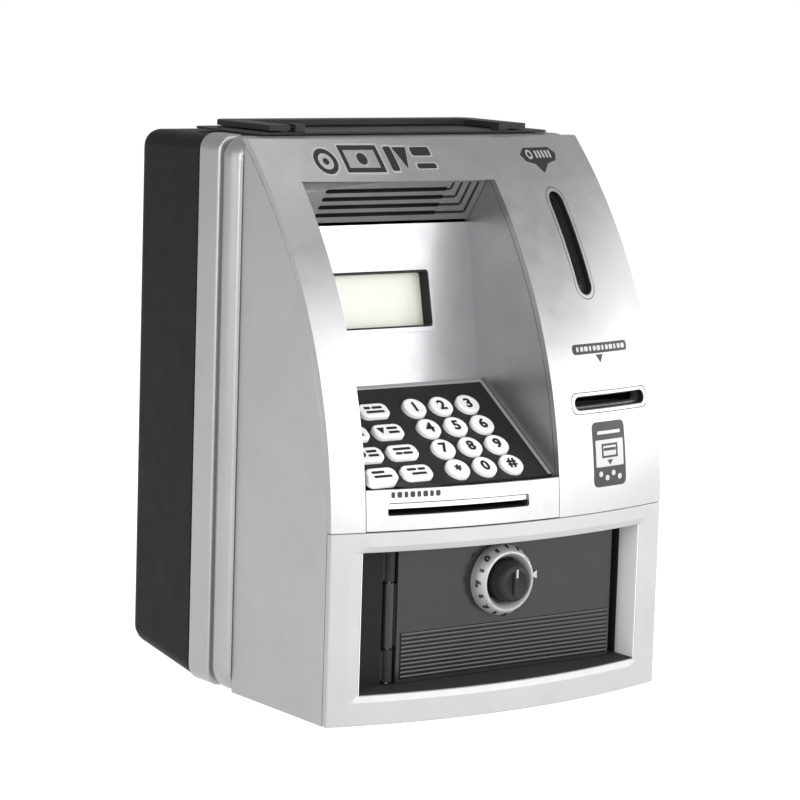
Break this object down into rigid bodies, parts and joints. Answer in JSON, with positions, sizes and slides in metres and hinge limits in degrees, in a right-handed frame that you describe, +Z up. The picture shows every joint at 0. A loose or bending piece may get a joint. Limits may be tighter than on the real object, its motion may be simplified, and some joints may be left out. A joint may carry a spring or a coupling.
{
  "type": "toy savings bank",
  "caption": "Standing toy cash-machine bank with a recessed keypad and display, note, coin and card slots, a hinged vault door and a fold-flat handle.",
  "frame": {"origin": "middle of the footprint, at the surface that the feet stand on", "axes": "+Z up, -Y the front with the keypad, +X the user's right"},
  "size_m": [0.1814, 0.1658, 0.243],
  "materials": {
    "silver_plastic": "fine satin silver paint on moulded plastic",
    "light_silver_plastic": "satin light silver paint on moulded plastic",
    "charcoal_plastic": "fine matt texture",
    "black_plastic": "matt black moulding",
    "label_black": "printed film with pale pictograms",
    "display_lens": "gloss cream display window",
    "circuit_board": "green solder mask",
    "smoked_plastic": "polished smoked moulding",
    "key_grey_plastic": "satin light grey moulding",
    "dark_rubber": "matt",
    "plated_steel": "bright plated",
    "gear_plastic": "natural acetal"
  },
  "bodies": {
    "case": {"recess_liner": "silver_plastic", "front_housing": "silver_plastic", "front_bezel": "silver_plastic", "mid_ring": "silver_plastic", "speaker_grille": "silver_plastic", "coin_slot_bezel": "silver_plastic", "card_slot_bezel": "silver_plastic", "door_frame": "light_silver_plastic", "rear_cover": "charcoal_plastic", "battery_door": "charcoal_plastic", "battery_holder": "black_plastic", "keypad_plate": "black_plastic", "bill_guide": "black_plastic", "coin_chute": "black_plastic", "card_reader": "black_plastic", "vault_box": "black_plastic", "hinge_post": "black_plastic", "handle_base": "black_plastic", "header_badge": "label_black", "card_pictogram": "label_black", "lcd_lens": "display_lens", "lcd_module": "circuit_board", "main_board": "circuit_board", "key_mat": "dark_rubber", "foot_front_left": "dark_rubber", "foot_front_right": "dark_rubber", "foot_rear_left": "dark_rubber", "foot_rear_right": "dark_rubber", "speaker": "plated_steel", "feed_motor": "plated_steel", "hinge_pin": "plated_steel"},
    "key_0": {"key_0": "key_grey_plastic"},
    "key_1": {"key_1": "key_grey_plastic"},
    "key_2": {"key_2": "key_grey_plastic"},
    "key_3": {"key_3": "key_grey_plastic"},
    "key_4": {"key_4": "key_grey_plastic"},
    "key_5": {"key_5": "key_grey_plastic"},
    "key_6": {"key_6": "key_grey_plastic"},
    "key_7": {"key_7": "key_grey_plastic"},
    "key_8": {"key_8": "key_grey_plastic"},
    "key_9": {"key_9": "key_grey_plastic"},
    "key_star": {"key_star": "key_grey_plastic"},
    "key_hash": {"key_hash": "key_grey_plastic"},
    "function_key_left_1": {"function_key_left_1": "key_grey_plastic"},
    "function_key_left_2": {"function_key_left_2": "key_grey_plastic"},
    "function_key_left_3": {"function_key_left_3": "key_grey_plastic"},
    "function_key_left_4": {"function_key_left_4": "key_grey_plastic"},
    "function_key_right_1": {"function_key_right_1": "key_grey_plastic"},
    "function_key_right_2": {"function_key_right_2": "key_grey_plastic"},
    "function_key_right_3": {"function_key_right_3": "key_grey_plastic"},
    "function_key_right_4": {"function_key_right_4": "key_grey_plastic"},
    "door": {"vault_door": "smoked_plastic", "knob_ring": "light_silver_plastic"},
    "knob": {"door_knob": "black_plastic", "latch_cam": "plated_steel"},
    "handle": {"carry_handle": "black_plastic"},
    "feed": {"feed_roller": "dark_rubber", "roller_gear": "gear_plastic"},
    "idler": {"idler_roller": "dark_rubber"},
    "pinion": {"motor_pinion": "gear_plastic"}
  },
  "joints": [
    {"name": "key_0_press", "type": "slide", "parent": "case", "child": "key_0", "axis": [0, 0.5534, -0.8329], "range_m": [0, 0.001], "stiffness_N_per_m": 400},
    {"name": "key_1_press", "type": "slide", "parent": "case", "child": "key_1", "axis": [0, 0.5534, -0.8329], "range_m": [0, 0.001], "stiffness_N_per_m": 400},
    {"name": "key_2_press", "type": "slide", "parent": "case", "child": "key_2", "axis": [0, 0.5534, -0.8329], "range_m": [0, 0.001], "stiffness_N_per_m": 400},
    {"name": "key_3_press", "type": "slide", "parent": "case", "child": "key_3", "axis": [0, 0.5534, -0.8329], "range_m": [0, 0.001], "stiffness_N_per_m": 400},
    {"name": "key_4_press", "type": "slide", "parent": "case", "child": "key_4", "axis": [0, 0.5534, -0.8329], "range_m": [0, 0.001], "stiffness_N_per_m": 400},
    {"name": "key_5_press", "type": "slide", "parent": "case", "child": "key_5", "axis": [0, 0.5534, -0.8329], "range_m": [0, 0.001], "stiffness_N_per_m": 400},
    {"name": "key_6_press", "type": "slide", "parent": "case", "child": "key_6", "axis": [0, 0.5534, -0.8329], "range_m": [0, 0.001], "stiffness_N_per_m": 400},
    {"name": "key_7_press", "type": "slide", "parent": "case", "child": "key_7", "axis": [0, 0.5534, -0.8329], "range_m": [0, 0.001], "stiffness_N_per_m": 400},
    {"name": "key_8_press", "type": "slide", "parent": "case", "child": "key_8", "axis": [0, 0.5534, -0.8329], "range_m": [0, 0.001], "stiffness_N_per_m": 400},
    {"name": "key_9_press", "type": "slide", "parent": "case", "child": "key_9", "axis": [0, 0.5534, -0.8329], "range_m": [0, 0.001], "stiffness_N_per_m": 400},
    {"name": "key_star_press", "type": "slide", "parent": "case", "child": "key_star", "axis": [0, 0.5534, -0.8329], "range_m": [0, 0.001], "stiffness_N_per_m": 400},
    {"name": "key_hash_press", "type": "slide", "parent": "case", "child": "key_hash", "axis": [0, 0.5534, -0.8329], "range_m": [0, 0.001], "stiffness_N_per_m": 400},
    {"name": "function_key_left_1_press", "type": "slide", "parent": "case", "child": "function_key_left_1", "axis": [0, 0.5534, -0.8329], "range_m": [0, 0.001], "stiffness_N_per_m": 400},
    {"name": "function_key_left_2_press", "type": "slide", "parent": "case", "child": "function_key_left_2", "axis": [0, 0.5534, -0.8329], "range_m": [0, 0.001], "stiffness_N_per_m": 400},
    {"name": "function_key_left_3_press", "type": "slide", "parent": "case", "child": "function_key_left_3", "axis": [0, 0.5534, -0.8329], "range_m": [0, 0.001], "stiffness_N_per_m": 400},
    {"name": "function_key_left_4_press", "type": "slide", "parent": "case", "child": "function_key_left_4", "axis": [0, 0.5534, -0.8329], "range_m": [0, 0.001], "stiffness_N_per_m": 400},
    {"name": "function_key_right_1_press", "type": "slide", "parent": "case", "child": "function_key_right_1", "axis": [0, 0.5534, -0.8329], "range_m": [0, 0.001], "stiffness_N_per_m": 400},
    {"name": "function_key_right_2_press", "type": "slide", "parent": "case", "child": "function_key_right_2", "axis": [0, 0.5534, -0.8329], "range_m": [0, 0.001], "stiffness_N_per_m": 400},
    {"name": "function_key_right_3_press", "type": "slide", "parent": "case", "child": "function_key_right_3", "axis": [0, 0.5534, -0.8329], "range_m": [0, 0.001], "stiffness_N_per_m": 400},
    {"name": "function_key_right_4_press", "type": "slide", "parent": "case", "child": "function_key_right_4", "axis": [0, 0.5534, -0.8329], "range_m": [0, 0.001], "stiffness_N_per_m": 400},
    {"name": "door_hinge", "type": "hinge", "parent": "case", "child": "door", "pos_m": [-0.052, -0.06157, 0.0436], "axis": [0, 0, -1], "range_deg": [0, 110]},
    {"name": "knob_turn", "type": "hinge", "parent": "door", "child": "knob", "pos_m": [0.004, -0.06308, 0.0543], "axis": [0, -1, 0], "range_deg": [0, 90]},
    {"name": "handle_pivot", "type": "hinge", "parent": "case", "child": "handle", "pos_m": [0, 0.01192, 0.24125], "axis": [1, 0, 0], "range_deg": [0, 92]},
    {"name": "feed_spin", "type": "hinge", "parent": "case", "child": "feed", "pos_m": [0.012, -0.03907, 0.0839], "axis": [1, 0, 0], "continuous": true},
    {"name": "idler_spin", "type": "hinge", "parent": "case", "child": "idler", "pos_m": [-0.029, -0.03907, 0.0959], "axis": [1, 0, 0], "continuous": true},
    {"name": "pinion_spin", "type": "hinge", "parent": "case", "child": "pinion", "pos_m": [0.012, -0.02658, 0.0839], "axis": [1, 0, 0], "continuous": true}
  ],
  "couplings": [
    {"joint": "idler_spin", "follows": "feed_spin", "ratio": -1.5556},
    {"joint": "pinion_spin", "follows": "feed_spin", "ratio": -2}
  ]
}
